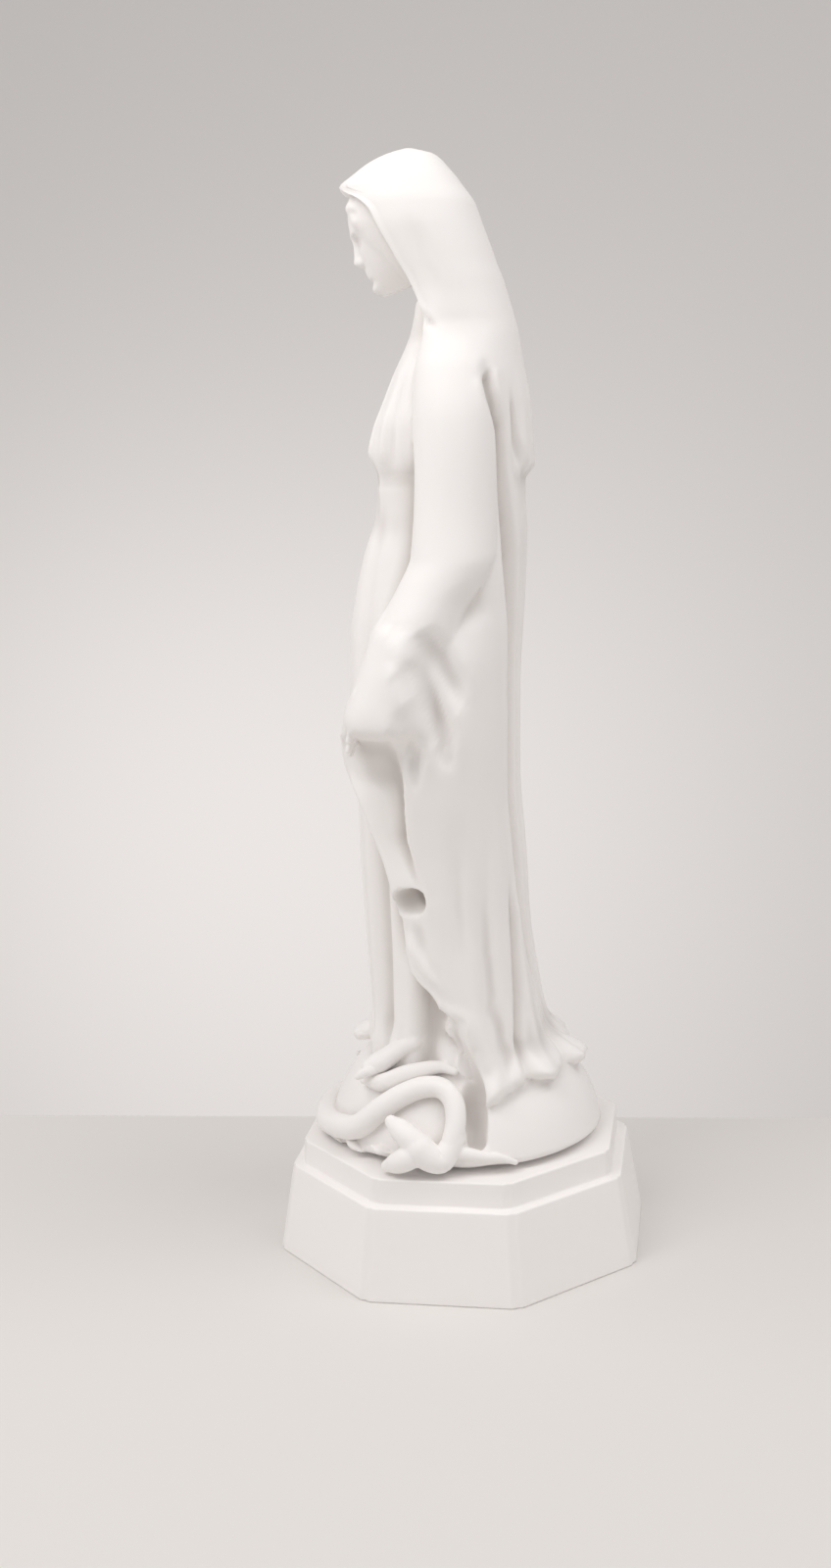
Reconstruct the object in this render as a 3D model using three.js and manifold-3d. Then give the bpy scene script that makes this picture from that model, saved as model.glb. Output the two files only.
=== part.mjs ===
// A white devotional statue: a hooded and robed woman with open hands on a globe, a serpent
// under her feet, cast in one, on an octagonal plinth with a stepped top. Millimetres, +Z up,
// origin at the centre of the plinth's underside. She faces -Y; her left side is +X.

import * as THREE from 'three';
import { mergeVertices } from 'three/addons/utils/BufferGeometryUtils.js';
import Module from 'manifold-3d';

const wasm = await Module();
wasm.setup();

// Driving sizes in millimetres
const FIGURE_HEIGHT = 266.25;
const BLOCK_HEIGHT = 24.75;
const BLOCK_TAPER = 4;
const LEDGE = 2.9;
const STEP_HEIGHT = 7;
const STEP_MARGIN = 4.1;
const STEP_TAPER = 0.25;
const FLATS = 8;

// The carving is laid out in hundredths of the figure's height
const UNIT = FIGURE_HEIGHT / 100;
const GLOBE_RADIUS = 14.65;
const GLOBE_CENTRE = [0, 0.4, -1.75];
const HOOD_TIP = 96.3;
const HEAD_HEIGHT = 11.2;
const HEAD_TILT = THREE.MathUtils.degToRad(20);
const CHIN = [0, -4.7, 86.2];
const SERPENT_RADIUS = 0.95;
const CLOTH_THICK = 1.1;

const degrees = THREE.MathUtils.degToRad;
const clamp = THREE.MathUtils.clamp;
const ramp = (value, from, to) => {
  const t = clamp((value - from) / (to - from), 0, 1);
  return t * t * (3 - 2 * t);
};
const bump = (distance, width) => Math.exp(-((distance / width) ** 2));

// A smooth curve through [place, value] knots that never overshoots between them
function follow(knots, place) {
  const last = knots.length - 1;
  const at = clamp(place, knots[0][0], knots[last][0]);
  let i = 0;
  while (i < last - 1 && at > knots[i + 1][0]) i += 1;
  const slope = (k) => (knots[k + 1][1] - knots[k][1]) / (knots[k + 1][0] - knots[k][0]);
  const tangent = (k) => {
    if (k === 0) return slope(0);
    if (k === last) return slope(last - 1);
    const before = slope(k - 1);
    const after = slope(k);
    return before * after > 0 ? (2 * before * after) / (before + after) : 0;
  };
  const span = knots[i + 1][0] - knots[i][0];
  const t = (at - knots[i][0]) / span;
  const t2 = t * t;
  const t3 = t2 * t;
  return (
    (2 * t3 - 3 * t2 + 1) * knots[i][1] +
    (t3 - 2 * t2 + t) * span * tangent(i) +
    (3 * t2 - 2 * t3) * knots[i + 1][1] +
    (t3 - t2) * span * tangent(i + 1)
  );
}

// Rings of equal point counts, bottom ring first and turning anticlockwise seen from its end,
// joined into one closed skin with a fan on each end
function loft(rings) {
  const count = rings[0].length;
  const points = rings.flat();
  const triangles = [];
  for (let row = 0; row < rings.length - 1; row += 1) {
    for (let column = 0; column < count; column += 1) {
      const next = (column + 1) % count;
      const a = row * count + column;
      const b = row * count + next;
      triangles.push(a, b, b + count, a, b + count, a + count);
    }
  }
  const cap = (ring, first, flip) => {
    const centre = points.length;
    const mean = [0, 1, 2].map((axis) => ring.reduce((sum, p) => sum + p[axis], 0) / count);
    points.push(mean);
    for (let column = 0; column < count; column += 1) {
      const a = first + column;
      const b = first + ((column + 1) % count);
      if (flip) triangles.push(centre, b, a);
      else triangles.push(centre, a, b);
    }
  };
  cap(rings[0], 0, true);
  cap(rings[rings.length - 1], (rings.length - 1) * count, false);
  return solid(points, triangles);
}

// A closed body that can be joined or cut, from points and triangles
function solid(points, triangles) {
  const shape = new THREE.BufferGeometry();
  shape.setAttribute('position', new THREE.Float32BufferAttribute(points.flat(), 3));
  shape.setIndex(triangles);
  return toSolid(shape);
}

function toSolid(shape) {
  shape.deleteAttribute('normal');
  shape.deleteAttribute('uv');
  const merged = mergeVertices(shape, 1e-5);
  const mesh = new wasm.Mesh({
    numProp: 3,
    vertProperties: new Float32Array(merged.attributes.position.array),
    triVerts: new Uint32Array(merged.index.array),
  });
  return new wasm.Manifold(mesh);
}

// A round limb along a path of [x, y, height], with a radius at each share of its length,
// closed by a short blunt cap at both ends
const CAP_REACH = 0.7;
const CAP_WIDTH = 0.67;

function limb(path, radii, sides, steps, flatten = 1) {
  const curve = new THREE.CatmullRomCurve3(path.map((p) => new THREE.Vector3(...p)));
  const rings = [];
  const aside = new THREE.Vector3(1, 0, 0);
  for (let step = -1; step <= steps + 1; step += 1) {
    const t = clamp(step / steps, 0, 1);
    const past = Math.sign(step / steps - t);
    const radius = follow(radii, t);
    const width = past === 0 ? radius : CAP_WIDTH * radius;
    const forward = curve.getTangentAt(t);
    const up = new THREE.Vector3().crossVectors(forward, aside).normalize();
    const side = new THREE.Vector3().crossVectors(up, forward).normalize();
    const centre = curve.getPointAt(t).addScaledVector(forward, CAP_REACH * radius * past);
    const ring = [];
    for (let i = 0; i < sides; i += 1) {
      const angle = (2 * Math.PI * i) / sides;
      const point = centre.clone();
      point.addScaledVector(side, width * Math.cos(angle));
      point.addScaledVector(up, width * flatten * Math.sin(angle));
      ring.push(point.toArray());
    }
    rings.push(ring);
    aside.copy(side);
  }
  return loft(rings);
}

// The line about which every section of the cloth is measured: set back at the shoulders,
// forward under the hood. Angles run from the front towards her left.
const AXIS = [[0, 0], [68.8, 0], [76.3, 0.38], [82, 0.75], [84.2, 0.56], [86.9, 0],
  [89.5, -1.13], [93.2, -2.63], [97, -3.38], [100, -3]];

const place = (angle, radius, height) => [
  radius * Math.sin(angle),
  follow(AXIS, height) - radius * Math.cos(angle),
  height,
];

// Reach of a rounded section with different depths before and behind the axis
function oval(angle, half, front, back, power) {
  const depth = Math.cos(angle) > 0 ? front : back;
  const across = (Math.abs(Math.sin(angle)) / half) ** power;
  return (across + (Math.abs(Math.cos(angle)) / depth) ** power) ** (-1 / power);
}

// Reach of a disc that stands off the axis, falling away quickly beside it
function disc(angle, x, y, radius) {
  const along = x * Math.sin(angle) - y * Math.cos(angle);
  const room = radius * radius - (x * x + y * y - along * along);
  return room > 0 ? along + Math.sqrt(room) : along - 3 * Math.sqrt(-room);
}

function softMax(values, softness) {
  const top = Math.max(...values);
  const sum = values.reduce((total, v) => total + Math.exp((v - top) / softness), 0);
  return top + softness * Math.log(sum);
}

// How near a place on the cloth is to a line carved through [degrees, height] knots, as a bell
// of the given width; the cloth is taken as laid flat from its usual reach
const FLAT_REACH = 12.5;

function nearLine(angle, height, knots, width) {
  const flat = (knot) => new THREE.Vector2(degrees(knot[0]) * FLAT_REACH, knot[1]);
  const here = new THREE.Vector2(angle * FLAT_REACH, height);
  let away = Infinity;
  for (let i = 0; i < knots.length - 1; i += 1) {
    const start = flat(knots[i]);
    const run = flat(knots[i + 1]).sub(start);
    const t = clamp(here.clone().sub(start).dot(run) / run.lengthSq(), 0, 1);
    away = Math.min(away, here.distanceTo(start.addScaledVector(run, t)));
  }
  return bump(away, width);
}

// The mantle and hood: one cloth from the crown over the shoulders and arms to the globe
const CLOTH_HALF = [[4.6, 12.8], [11, 11.7], [21.9, 11.7], [30.9, 12.4], [38, 13.5], [44.4, 14.2],
  [50.1, 13.9], [53.8, 12.7], [57.2, 10.9], [61.3, 9.8], [69.2, 9.6], [75.6, 9.4], [78.2, 9],
  [80.5, 8.1], [83.9, 6.6], [86.9, 6.2], [92.1, 6.3], [94.4, 6], [96.6, 5.1], [98.3, 3.8],
  [99.4, 2.3], [100, 0.4]];
const CLOTH_BACK = [[4.6, 12.2], [8.2, 11.2], [9.4, 10.4], [11.6, 9], [15.9, 8.1], [23.4, 7.4],
  [30.9, 6.8], [38, 6.3], [47.1, 6.5], [57.2, 7.3], [64.3, 7.8], [75.6, 7.8], [81.6, 6.8],
  [86.9, 6.2], [92.3, 6.6], [94.4, 6.5], [96.7, 5.4], [98.3, 4], [99.4, 2.6], [100, 0.4]];
const CLOTH_FRONT = [[4.6, 3], [11, 5.3], [18.1, 7.5], [25.6, 9.8], [33.2, 11.3], [41.8, 12],
  [48.2, 11.3], [53.8, 9], [59.4, 5.3], [65.1, 3.8], [82, 3.4], [86.9, 4.5], [92.1, 6],
  [96.4, 6.7], [97.6, 5.3], [98.9, 3.5], [99.7, 1.6], [100, 0.4]];
const CLOTH_POWER = [[0, 2.3], [60, 2.3], [84, 2.1], [100, 2]];
// How far round from the front each edge of the open cloth stands, in degrees, and the evener
// line from which its columns are spaced
const OPENING = [[3.7, 102.5], [7.3, 101], [10.4, 97], [13.5, 92.5], [16, 89], [17.6, 86],
  [18.6, 82], [19.8, 74], [21.4, 70], [23.8, 68.5], [26, 67], [27.4, 64.5], [31, 59],
  [34.3, 51.5], [37.3, 43.5], [40, 32], [41.5, 31], [45, 44], [50, 56], [54.2, 62], [61.3, 76],
  [69, 78], [78.2, 68], [82, 72], [83.6, 72], [87.6, 66], [91.9, 62], [93.8, 58], [95.2, 45],
  [95.9, 24], [96.3, 6]];
const SLEEVE_KNOT = 19;
const COLUMN_OPENING = [[3.7, 102.5], [10.4, 97], [16, 87.5], [20.5, 78], [28, 66], [36, 54],
  [42, 48], [50, 56], ...OPENING.slice(SLEEVE_KNOT)];
// How far the inside of the cloth lies behind its outside, by height
const RECESS = [[0, 5.5], [62, 4.5], [76, 3.4], [83, 2.2], [92, 2.5], [96, CLOTH_THICK],
  [100, CLOTH_THICK]];
// The arm under the cloth, from the wide sleeve's mouth at the hand up to the shoulder
const ARM_X = [[42, 11.4], [46, 11.5], [49.2, 11.7], [53.5, 11.4], [55, 10.9], [58.7, 9.8],
  [65.1, 8.5], [74, 7.3], [79, 5.8], [83, 4]];
const ARM_Y = [[42, -4.2], [46, -3.9], [49.2, -3.1], [53.5, -2], [55, -1.4], [58.7, 0.6],
  [61.3, 1.7], [70.7, 1.9], [83, 1.3]];
const ARM_RADIUS = [[42, 4.2], [46, 4.7], [49.2, 4.3], [53.5, 3.9], [58.7, 4.1], [65.1, 3.9],
  [74, 3.8], [79, 3.4], [83, 2]];
const ARM_TOP = 83;
// Where the sleeve's mouth ends and where the hollow under the hand ends, in degrees
const CUFF = [[43, 96], [44.8, 94], [46.4, 91], [48.5, 88.5], [50.4, 87], [51.8, 86],
  [53.4, 83.5], [54.2, 80], [54.8, 76]];
const HAND_SHADE = [[26, 88], [28.9, 84], [31.3, 79], [34, 76], [43.5, 77]];
// Carved folds through [degrees, height] knots: negative depths are valleys
const FOLDS = [
  {
    knots: [[121, 79], [132, 73.1], [138, 64.7], [147, 53.4], [150, 45], [151, 36], [154, 27.4],
      [160, 22], [166, 16]],
    width: 1.4,
    depth: -1.3,
  },
  { knots: [[90, 54], [96, 51.2], [105, 47]], width: 1.2, depth: -1.2 },
  { knots: [[90, 51], [94.5, 47.2], [102, 41.5]], width: 1.2, depth: -1.4 },
  { knots: [[103, 59], [112, 54]], width: 2, depth: -0.5 },
  { knots: [[86, 14.2], [95, 12.6], [102, 9], [102, 4]], width: 1.5, depth: -1.5 },
  { knots: [[137, 30], [136, 16.4], [132, 12.3], [133, 8]], width: 1.5, depth: -0.9 },
  { knots: [[163, 24], [171, 16], [171, 11], [166, 7]], width: 1.5, depth: -0.9 },
  { knots: [[114, 36], [112, 26], [115, 16], [125, 7]], width: 1.5, depth: -0.6 },
  { knots: [[146, 22], [147, 14], [146, 8]], width: 1.5, depth: 0.5 },
];
// The hem flares over the globe in lobes, and a longer train lies at the back
const TRAIN_DEGREES = 176;
const TRAIN_REACH = 1.1;

function clothFolds(angle, height) {
  const turn = Math.abs(angle);
  const around = THREE.MathUtils.radToDeg(turn);
  let change = 0;
  for (const fold of FOLDS) {
    change += fold.depth * nearLine(turn, height, fold.knots, fold.width);
  }
  const mouth = ramp(height, 42.6, 44) * ramp(height, 55.2, 54.5);
  change += 0.55 * mouth * ramp(follow(CUFF, height) - around, -1, 2.5);
  const inner = follow(OPENING, height);
  const outer = follow(HAND_SHADE, height);
  const sunk = 0.4 + 2.7 * clamp((around - inner) / (outer - inner), 0, 1);
  change -= sunk * ramp(outer - around, 0, 6) * ramp(height, 27, 33) * ramp(height, 45, 42);
  const overHem = height - clothHem(angle);
  const lobes = 0.8 + 0.4 * Math.cos(10 * turn + 0.6);
  change += lobes * ramp(overHem, 3.4, 0.5) * ramp(around, 98, 108);
  change += TRAIN_REACH * bump(around - TRAIN_DEGREES, 9) * ramp(height, 11.5, 8.6);
  const veilEnd = ramp(height, 80, 69.5) * ramp(height, 67.5, 69.2);
  change += 0.95 * veilEnd * ramp(around, 146, 160);
  return change;
}

function clothRadius(angle, height) {
  const trunk = oval(
    angle,
    follow(CLOTH_HALF, height),
    follow(CLOTH_FRONT, height),
    follow(CLOTH_BACK, height),
    follow(CLOTH_POWER, height),
  );
  const reaches = [trunk];
  const sleeved = ramp(height, 42.3, 44.4);
  if (sleeved > 0 && height < ARM_TOP) {
    const x = follow(ARM_X, height);
    const y = follow(ARM_Y, height) - follow(AXIS, height);
    reaches.push(sleeved * disc(Math.abs(angle), x, y, follow(ARM_RADIUS, height)));
  }
  return softMax(reaches, 0.35) + clothFolds(angle, height);
}

// Wavy hem of the cloth: on the globe at her sides, a little higher behind
function clothHem(angle) {
  const turn = Math.abs(angle);
  const wave = 0.35 * Math.cos(11 * turn) + 0.5 * bump(turn - 2.55, 0.35);
  return 4.4 + 3 * ramp(turn, degrees(98), degrees(116)) + wave;
}

// Where the columns' even line stands on a row of the cloth, and how far aside the edge is
function openEdge(level) {
  const hem = clothHem(degrees(follow(OPENING, level)));
  const height = hem + (level / 100) * (100 - hem);
  const even = follow(COLUMN_OPENING, height);
  return [degrees(even), degrees(follow(OPENING, height) - even)];
}

const CLOTH_ROWS = 46;
const BACK_COLUMNS = 34;
const FRONT_COLUMNS = 3;
const LIP = 0.05;
const SHIFT_FADE = 0.3;

function cloth() {
  const rings = [];
  for (let row = 0; row <= CLOTH_ROWS; row += 1) {
    const share = row / CLOTH_ROWS;
    const level = 100 * (0.72 * share + 0.28 * Math.sin((share * Math.PI) / 2));
    const ring = [];
    const add = (turn, inside) => {
      const angle = Math.atan2(Math.sin(turn), Math.cos(turn));
      const hem = clothHem(angle);
      const height = hem + (level / 100) * (100 - hem);
      const deep = inside * follow(RECESS, height) * ramp(height, HOOD_TIP, HOOD_TIP - 0.9);
      ring.push(place(angle, Math.max(clothRadius(angle, height) - deep, 0.1), height));
    };
    const [edge, aside] = openEdge(level);
    const span = 2 * (Math.PI - edge);
    for (let i = 0; i <= BACK_COLUMNS; i += 1) {
      const gone = (span * i) / BACK_COLUMNS;
      const fromLeft = Math.exp(-gone / SHIFT_FADE);
      const fromRight = Math.exp((gone - span) / SHIFT_FADE);
      add(edge + gone + aside * (fromLeft - fromRight), 0);
    }
    const inner = edge + aside - LIP;
    for (let i = 0; i <= FRONT_COLUMNS; i += 1) {
      add(-inner + (2 * inner * i) / FRONT_COLUMNS, 1);
    }
    rings.push(ring);
  }
  return loft(rings);
}

// The tunic: a bodice that blouses over a sash, then a long skirt that breaks on the feet
const TUNIC_FRONT = [[4.6, 8.6], [11, 8.8], [21.9, 9.4], [32, 9.8], [39, 9.9], [43, 10.2], [47.4, 10.5],
  [52.3, 10.3], [56.4, 9.7], [60.9, 8.6], [64.7, 7.3], [67.3, 7], [69.2, 7.1], [71, 7.8],
  [73.3, 7.3], [76, 6.3], [79, 5.3], [81.6, 4.3], [83.5, 3.6], [86, 2.8]];
const TUNIC_HALF = [[4.6, 9.6], [11, 9], [21.9, 8.2], [36.9, 8], [53.8, 8], [59.4, 7.4],
  [64.7, 6.6], [67.3, 6.4], [71.1, 7.2], [74.5, 7.5], [78.2, 7.1], [80.8, 5.3], [82.7, 3.6],
  [86, 2.9]];
const TUNIC_BOTTOM = 4;
const TUNIC_TOP = 86;
const TUNIC_ROWS = 28;
const TUNIC_COLUMNS = 26;
const FLUTES = 11;

function tunicRadius(angle, height) {
  const behind = Math.max(follow(CLOTH_BACK, height) - CLOTH_THICK, 2);
  let radius = oval(angle, follow(TUNIC_HALF, height), follow(TUNIC_FRONT, height), behind, 2.2);
  const skirt = ramp(height, 66, 20);
  const flute = Math.cos(FLUTES * angle + 0.8 * Math.sin(2 * angle) + 0.02 * height);
  radius += (0.12 + 0.4 * skirt) * flute * ramp(height, 68, 60);
  radius += (0.5 + 0.4 * Math.cos(7 * angle + 1)) * ramp(height, 13.5, 10.2);
  const around = THREE.MathUtils.radToDeg(Math.abs(angle));
  radius += 0.45 * ramp(around, 28, 34) * ramp(height, 63, 68) * ramp(height, 78, 73);
  return radius;
}

function tunic() {
  const rings = [];
  for (let row = 0; row <= TUNIC_ROWS; row += 1) {
    const height = TUNIC_BOTTOM + ((TUNIC_TOP - TUNIC_BOTTOM) * row) / TUNIC_ROWS;
    const ring = [];
    for (let i = 0; i < TUNIC_COLUMNS; i += 1) {
      const turn = (2 * Math.PI * i) / TUNIC_COLUMNS;
      const angle = turn - 0.6 * Math.sin(turn);
      const wrapped = Math.atan2(Math.sin(angle), Math.cos(angle));
      ring.push(place(wrapped, tunicRadius(wrapped, height), height));
    }
    rings.push(ring);
  }
  return loft(rings);
}

// The head is a plain classical one, set out by the usual shares of its height:
// eyes halfway, mouth and nose below them, the brow above, all measured up from the chin
const HEAD_HALF = [[0, 0.9], [0.08, 1.8], [0.2, 2.7], [0.4, 3.5], [0.6, 3.9], [0.8, 3.5],
  [0.93, 2.3], [1, 0.3]];
const HEAD_FRONT = [[0, 3], [0.1, 3.6], [0.2, 3.75], [0.35, 3.8], [0.5, 3.8], [0.6, 3.95],
  [0.75, 3.6], [0.9, 2.4], [1, 0.3]];
const HEAD_BACK = [[0, 0.5], [0.15, 2], [0.3, 4], [0.6, 5.2], [0.8, 4.6], [0.93, 3.2], [1, 0.3]];
const NOSE = [[0.28, 0], [0.34, 1.15], [0.56, 0.25], [0.66, 0]];
const CHIN_TO_AXIS = 1.8;
const CHIN_LIFT = 1;
const HEAD_ROWS = 15;
const HEAD_COLUMNS = 18;

function headRadius(angle, share) {
  const turn = Math.abs(angle);
  const front = follow(HEAD_FRONT, share);
  let radius = oval(angle, follow(HEAD_HALF, share), front, follow(HEAD_BACK, share), 2.1);
  radius += follow(NOSE, share) * bump(angle, 0.17);
  radius += 0.3 * bump(share - 0.22, 0.04) * bump(angle, 0.3);
  radius += 0.38 * bump(share - 0.07, 0.06) * bump(angle, 0.32);
  radius -= 0.4 * bump(share - 0.5, 0.055) * bump(turn - 0.42, 0.22);
  radius += 0.3 * ramp(share - 0.84 + 0.42 * turn ** 2, 0, 0.04);
  return radius;
}

function head() {
  const rings = [];
  for (let row = 0; row <= HEAD_ROWS; row += 1) {
    const share = 0.5 - 0.5 * Math.cos((Math.PI * (row + 0.35)) / (HEAD_ROWS + 0.7));
    const ring = [];
    for (let i = 0; i < HEAD_COLUMNS; i += 1) {
      const turn = (2 * Math.PI * i) / HEAD_COLUMNS;
      const angle = turn - 0.45 * Math.sin(turn);
      const radius = headRadius(Math.atan2(Math.sin(angle), Math.cos(angle)), share);
      const x = radius * Math.sin(angle);
      const y = -radius * Math.cos(angle);
      const z = share * HEAD_HEIGHT;
      ring.push([
        CHIN[0] + x,
        CHIN[1] + CHIN_TO_AXIS + y * Math.cos(HEAD_TILT) - z * Math.sin(HEAD_TILT),
        CHIN[2] + CHIN_LIFT + z * Math.cos(HEAD_TILT) + y * Math.sin(HEAD_TILT),
      ]);
    }
    rings.push(ring);
  }
  return loft(rings);
}

// A hand held low with the palm to the front: a flat palm, four fingers and a thumb, laid out
// along the reach from the wrist to the middle fingertip
const WRIST = [11.8, -4.9, 53.2];
const HAND_REACH = [0.6, -3.7, -10.6];
const FINGER_LENGTHS = [0.88, 0.98, 1.02, 0.94];

function hand(side) {
  const along = (share, aside, forward) => [
    side * (WRIST[0] + HAND_REACH[0] * share + aside),
    WRIST[1] + HAND_REACH[1] * share + forward,
    WRIST[2] + HAND_REACH[2] * share,
  ];
  const palm = [along(-0.25, 0, 0.2), along(0, 0, 0), along(0.25, 0, 0), along(0.52, 0, -0.1)];
  let whole = limb(palm, [[0, 1.25], [0.35, 1.2], [0.7, 1.6], [1, 1.5]], 8, 4, 0.55);
  FINGER_LENGTHS.forEach((length, finger) => {
    const aside = 1.1 - 0.73 * finger;
    const bend = 0.18 * finger - 0.1;
    const path = [
      along(0.42, aside * 0.9, 0),
      along(0.62, aside, 0.05),
      along(0.82 * length, aside * 1.05, bend * 0.5),
      along(length, aside * 1.02, bend),
    ];
    whole = whole.add(limb(path, [[0, 0.46], [1, 0.34]], 5, 3));
  });
  const thumb = [
    along(0.12, 0.9, 0),
    along(0.3, 1.5, -0.3),
    along(0.46, 1.75, -0.5),
    along(0.6, 1.7, -0.6),
  ];
  return whole.add(limb(thumb, [[0, 0.8], [0.5, 0.6], [1, 0.4]], 5, 3));
}

// The tunic's sleeve comes out of the mantle round each wrist
function sleeve(side) {
  const path = [[9, 2, 60], [10.4, -0.6, 57], [11.3, -3.2, 54.6], [11.7, -4.4, 53.2]];
  const mirrored = path.map(([x, y, z]) => [side * x, y, z]);
  return limb(mirrored, [[0, 3.2], [0.6, 2.5], [1, 1.95]], 10, 4);
}

// A point on the globe by its angle from the front, its height angle and its lift
function onGlobe(turn, rise, lift) {
  const radius = GLOBE_RADIUS + lift;
  return [
    GLOBE_CENTRE[0] + radius * Math.sin(degrees(turn)) * Math.cos(degrees(rise)),
    GLOBE_CENTRE[1] - radius * Math.cos(degrees(turn)) * Math.cos(degrees(rise)),
    GLOBE_CENTRE[2] + radius * Math.sin(degrees(rise)),
  ];
}

const GLOBE_ROWS = 8;
const GLOBE_COLUMNS = 30;
const FULL_TURN = 360;

function globe() {
  const rings = [];
  const foot = Math.asin(-GLOBE_CENTRE[2] / GLOBE_RADIUS);
  for (let row = 0; row < GLOBE_ROWS; row += 1) {
    const rise = foot + ((Math.PI / 2 - foot) * row) / GLOBE_ROWS;
    const ring = [];
    for (let i = 0; i < GLOBE_COLUMNS; i += 1) {
      const point = onGlobe((FULL_TURN * i) / GLOBE_COLUMNS, THREE.MathUtils.radToDeg(rise), 0);
      if (row === 0) point[2] = 0;
      ring.push(point);
    }
    rings.push(ring);
  }
  return loft(rings);
}

// A limb laid over the globe through [turn, rise, lift] knots
const globeLimb = (knots, radii, sides, steps, flatten) =>
  limb(knots.map((knot) => onGlobe(...knot)), radii, sides, steps, flatten);

// The serpent lies round the front of the globe, rises in an arch over her left side of it
// and comes down to a flat head with open jaws; its tail lies beside the head
const BODY_PATH = [[-88, 46], [-76, 35], [-58, 19], [-36, 12], [-10, 11], [18, 13], [36, 16],
  [48, 19.5], [58, 28.5], [67, 35.5], [77, 39.8], [86, 40], [92, 35.5], [93.5, 28], [92, 20.5],
  [90, 15]];
const NECK_PATH = [[93, 21], [88, 13.5], [84, 14.5], [80, 17]];
const JAW_ROOT = [81, 17];
const JAW_TIPS = [[67, 25], [68, 9.5]];
const TAIL_PATH = [[94, 16.5], [99, 15.5], [105, 14.2], [111, 13.4], [117, 11]];

function serpent() {
  const r = SERPENT_RADIUS;
  const lifted = (path, lift, step) => path.map(([turn, rise], i) => [turn, rise, lift + step * i]);
  const girth = [[0, 0.6 * r], [0.3, 1.15 * r], [0.6, 1.35 * r], [0.85, 1.15 * r], [1, 1.05 * r]];
  let whole = globeLimb(lifted(BODY_PATH, 0.75 * r, 0), girth, 7, 28);
  const neck = lifted(NECK_PATH, 0.6 * r, 0.35 * r);
  whole = whole.add(globeLimb(neck, [[0, 1.1 * r], [1, 1.7 * r]], 7, 4));
  for (const [turn, rise] of JAW_TIPS) {
    const middle = [0.5 * (JAW_ROOT[0] + turn), 0.45 * JAW_ROOT[1] + 0.55 * rise, 2 * r];
    const jaw = [[...JAW_ROOT, 1.6 * r], middle, [turn, rise, 1.6 * r]];
    whole = whole.add(globeLimb(jaw, [[0, 1.5 * r], [0.7, 1.15 * r], [1, 0.7 * r]], 6, 4));
  }
  const tail = lifted(TAIL_PATH, 0.35 * r, 0);
  return whole.add(globeLimb(tail, [[0, 0.8 * r], [1, 0.3 * r]], 6, 6));
}

// A roll of the tunic's hem that lies over the serpent's arch
const HEM_ROLL = [[40, 36, 0.7], [54, 38.5, 0.7], [64, 43.5, 0.7], [73, 46.5, 0.7],
  [84, 48.5, 0.7], [92, 47, 0.7]];
const hemRoll = () => globeLimb(HEM_ROLL, [[0, 0.4], [0.3, 0.95], [0.7, 0.8], [1, 0.4]], 6, 8);

// A bare foot from heel to toes, falling from the instep
const INSTEP = [[0, 1.1], [0.3, 0.8], [0.6, 0.25], [0.94, -0.1]];

function foot(heel, toe, width) {
  const path = INSTEP.map(([share, rise]) => [
    heel[0] + (toe[0] - heel[0]) * share,
    heel[1] + (toe[1] - heel[1]) * share,
    heel[2] + (toe[2] - heel[2]) * share + rise,
  ]);
  const girth = [[0, 0.95 * width], [0.4, 0.9 * width], [0.8, width], [1, 0.75 * width]];
  return limb(path, girth, 8, 5, 0.72);
}

// A rolled rose, wound inwards and outwards from the globe
const ROSE_POINTS = 12;

function rose(turn, rise, size) {
  const knots = [];
  for (let i = 0; i <= ROSE_POINTS; i += 1) {
    const around = (2 * Math.PI * i) / ROSE_POINTS;
    const spiral = size * (1 - 0.045 * i);
    const across = turn + 4.2 * spiral * Math.cos(around);
    const up = rise + 3.6 * spiral * Math.sin(around);
    knots.push([across, up, size * (0.05 + 0.05 * i)]);
  }
  return globeLimb(knots, [[0, 0.5 * size], [1, 0.42 * size]], 5, 10);
}

// Leaves lie on the globe: [turn, rise] of the stalk, the run to the tip, and the size
const LEAVES = [[-52, 22, -14, 6, 1], [-26, 24, 12, 8, 1], [66, 13, -10, 1, 1.2],
  [50, 10, -10, 3, 1.1], [34, 9, -9, 3, 1.1]];

function leaf(turn, rise, towards, climb, size) {
  const knots = [0, 0.5, 1].map((t) => [turn + towards * t, rise + climb * t, 0.15 + 0.25 * t]);
  return globeLimb(knots, [[0, 0.25 * size], [0.45, 0.8 * size], [1, 0.15 * size]], 5, 3, 0.45);
}

// Deep undercuts beneath the falling edge of the mantle on her left side, through
// [degrees, reach, height] knots
const UNDERCUTS = [
  {
    knots: [[68, 14.5, 26.6], [74, 12, 27.1], [80, 10, 27.8]],
    radii: [[0, 1.9], [0.5, 1.9], [1, 1]],
  },
  {
    knots: [[66, 11, 23], [72, 11, 20.6], [78, 10.8, 18.6], [85, 10.8, 16.6], [92, 11, 14.6]],
    radii: [[0, 0.5], [0.3, 0.95], [0.6, 1.15], [1, 0.8]],
  },
  {
    knots: [[88, 11, 15.2], [95, 11.2, 12.6], [99.5, 11.5, 10.4], [103, 12, 8], [104, 12.6, 5.4],
      [104, 13.6, 3.2]],
    radii: [[0, 0.4], [0.3, 1.05], [0.7, 1.35], [1, 1]],
  },
];

function undercut({ knots, radii }) {
  const path = knots.map(([turn, reach, height]) => place(degrees(turn), reach, height));
  return limb(path, radii, 6, 7);
}

const SIDES = [1, -1];
const NEAR_FOOT = { heel: [64.7, 55.8, 0.3], toe: [41.5, 38.6, 1.9], width: 1.55 };
const FAR_FOOT = { heel: [-17, 56.9, -0.9], toe: [-15, 37.9, 2], width: 1.45 };

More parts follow.
